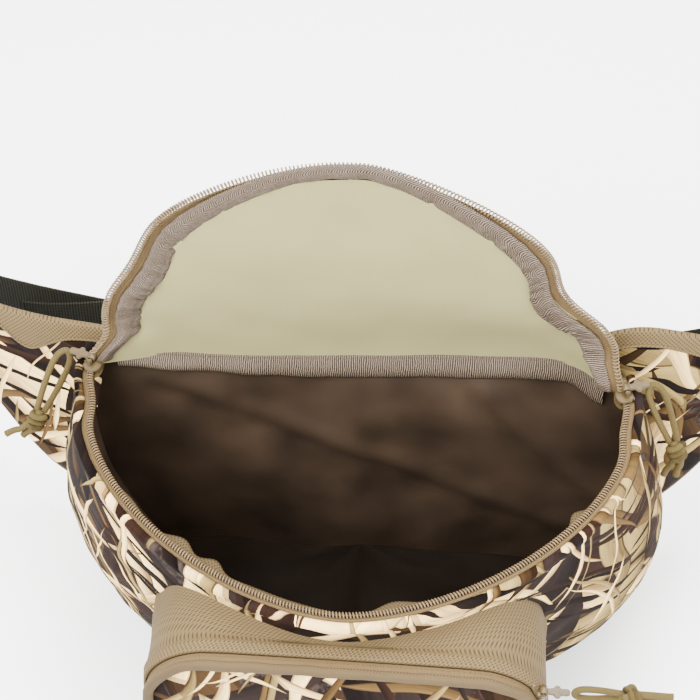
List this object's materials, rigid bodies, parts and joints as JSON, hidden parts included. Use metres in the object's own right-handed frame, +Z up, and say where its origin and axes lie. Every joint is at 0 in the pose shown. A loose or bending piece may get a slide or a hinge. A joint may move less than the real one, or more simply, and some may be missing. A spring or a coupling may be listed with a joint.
{
  "type": "hunting lumbar pack",
  "caption": "Soft waist pack with D-shaped zipped lid standing open, bound seams, zipped front pocket with gusset, padded belt wings and buckled belt.",
  "frame": {"origin": "middle of the flat bottom, where it rests", "axes": "+X to the right seen from the front, +Y towards the wearer's back, +Z up"},
  "size_m": [0.586, 0.2972, 0.3752],
  "materials": {
    "camo_cloth": "printed woven",
    "tan_cloth": "woven",
    "spacer_mesh": "open mesh",
    "foam": "matte",
    "brown_lining": "coated satin",
    "pale_lining": "fine twill",
    "binding_tape": "grosgrain",
    "zip_tape": "woven",
    "zip_coil": "satin",
    "tan_metal": "gloss",
    "pull_cord": "braided",
    "webbing": "ribbed",
    "buckle_plastic": "moulded"
  },
  "bodies": {
    "bag": {"outer_shell": "camo_cloth", "bottom_panel": "camo_cloth", "interior_lining": "brown_lining", "back_panel": "tan_cloth", "lumbar_mesh_pads": "spacer_mesh", "hinge_welt": "binding_tape", "hinge_binding": "binding_tape", "body_zip_tape": "zip_tape", "body_zip_coil": "zip_coil", "zip_end_tab_left": "binding_tape", "zip_end_tab_right": "binding_tape", "pocket_gusset": "tan_cloth", "pocket_tape_gusset": "zip_tape", "pocket_coil_gusset": "zip_coil", "wing_cover_left": "camo_cloth", "wing_pad_left": "foam", "wing_backing_left": "tan_cloth", "wing_cover_right": "camo_cloth", "wing_pad_right": "foam", "wing_backing_right": "tan_cloth", "belt_webbing_right": "webbing", "belt_webbing_left": "webbing", "belt_tail": "webbing", "buckle_socket": "buckle_plastic", "buckle_plug": "buckle_plastic"},
    "lid": {"lid_outer_panel": "camo_cloth", "lid_lining": "pale_lining", "lid_binding": "binding_tape", "lid_zip_tape": "zip_tape", "lid_zip_coil": "zip_coil"},
    "zip_slider_left": {"slider_left": "tan_metal"},
    "zip_slider_right": {"slider_right": "tan_metal"},
    "zip_pull_left": {"pull_tab_left": "tan_metal", "pull_cord_left": "pull_cord", "pull_knot_left": "pull_cord"},
    "zip_pull_right": {"pull_tab_right": "tan_metal", "pull_cord_right": "pull_cord", "pull_knot_right": "pull_cord"},
    "pocket_flap": {"pocket_front_panel": "camo_cloth", "pocket_binding": "binding_tape", "pocket_tape_flap": "zip_tape", "pocket_coil_flap": "zip_coil"},
    "pocket_zip_slider": {"pocket_slider": "tan_metal"},
    "pocket_zip_pull": {"pocket_pull_tab": "tan_metal", "pull_cord_pocket": "pull_cord", "pull_knot_pocket": "pull_cord"},
    "keeper": {"strap_keeper": "buckle_plastic"},
    "arm_lower": {"buckle_arm_lower": "buckle_plastic"},
    "arm_upper": {"buckle_arm_upper": "buckle_plastic"}
  },
  "joints": [
    {"name": "lid_hinge", "type": "hinge", "parent": "bag", "child": "lid", "pos_m": [0, 0.07, 0.2], "axis": [1, 0, 0], "range_deg": [-35, 92]},
    {"name": "slide_left", "type": "slide", "parent": "bag", "child": "zip_slider_left", "axis": [-0.2873, -0.9565, -0.0501], "range_m": [0, 0.01]},
    {"name": "slide_right", "type": "slide", "parent": "bag", "child": "zip_slider_right", "axis": [0.2873, -0.9565, -0.0501], "range_m": [0, 0.01]},
    {"name": "pull_left", "type": "hinge", "parent": "zip_slider_left", "child": "zip_pull_left", "pos_m": [-0.15517, 0.05778, 0.20727], "axis": [0.2873, 0.9565, 0.0501], "range_deg": [0, 60]},
    {"name": "pull_right", "type": "hinge", "parent": "zip_slider_right", "child": "zip_pull_right", "pos_m": [0.15517, 0.05778, 0.20727], "axis": [0.2873, -0.9565, -0.0501], "range_deg": [0, 60]},
    {"name": "pocket_flap_hinge", "type": "hinge", "parent": "bag", "child": "pocket_flap", "pos_m": [0.004, -0.12, 0.012], "axis": [1, 0, 0], "range_deg": [0, 75]},
    {"name": "pocket_slide", "type": "slide", "parent": "bag", "child": "pocket_zip_slider", "axis": [0.5, 0, -0.866], "range_m": [0, 0.008]},
    {"name": "pocket_pull", "type": "hinge", "parent": "pocket_zip_slider", "child": "pocket_zip_pull", "pos_m": [0.11835, -0.12, 0.14745], "axis": [0, -1, 0], "range_deg": [-35, 60]},
    {"name": "keeper_slide", "type": "slide", "parent": "bag", "child": "keeper", "axis": [-1, 0, 0], "range_m": [-0.03, 0.03]},
    {"name": "squeeze_lower", "type": "hinge", "parent": "bag", "child": "arm_lower", "pos_m": [-0.0115, 0.15, 0.12815], "axis": [0, -1, 0], "range_deg": [0, 5], "stiffness_Nm_per_rad": 0.8},
    {"name": "squeeze_upper", "type": "hinge", "parent": "bag", "child": "arm_upper", "pos_m": [-0.0115, 0.15, 0.15785], "axis": [0, 1, 0], "range_deg": [0, 5], "stiffness_Nm_per_rad": 0.8}
  ],
  "couplings": [
    {"joint": "squeeze_lower", "follows": "squeeze_upper", "ratio": 1}
  ]
}
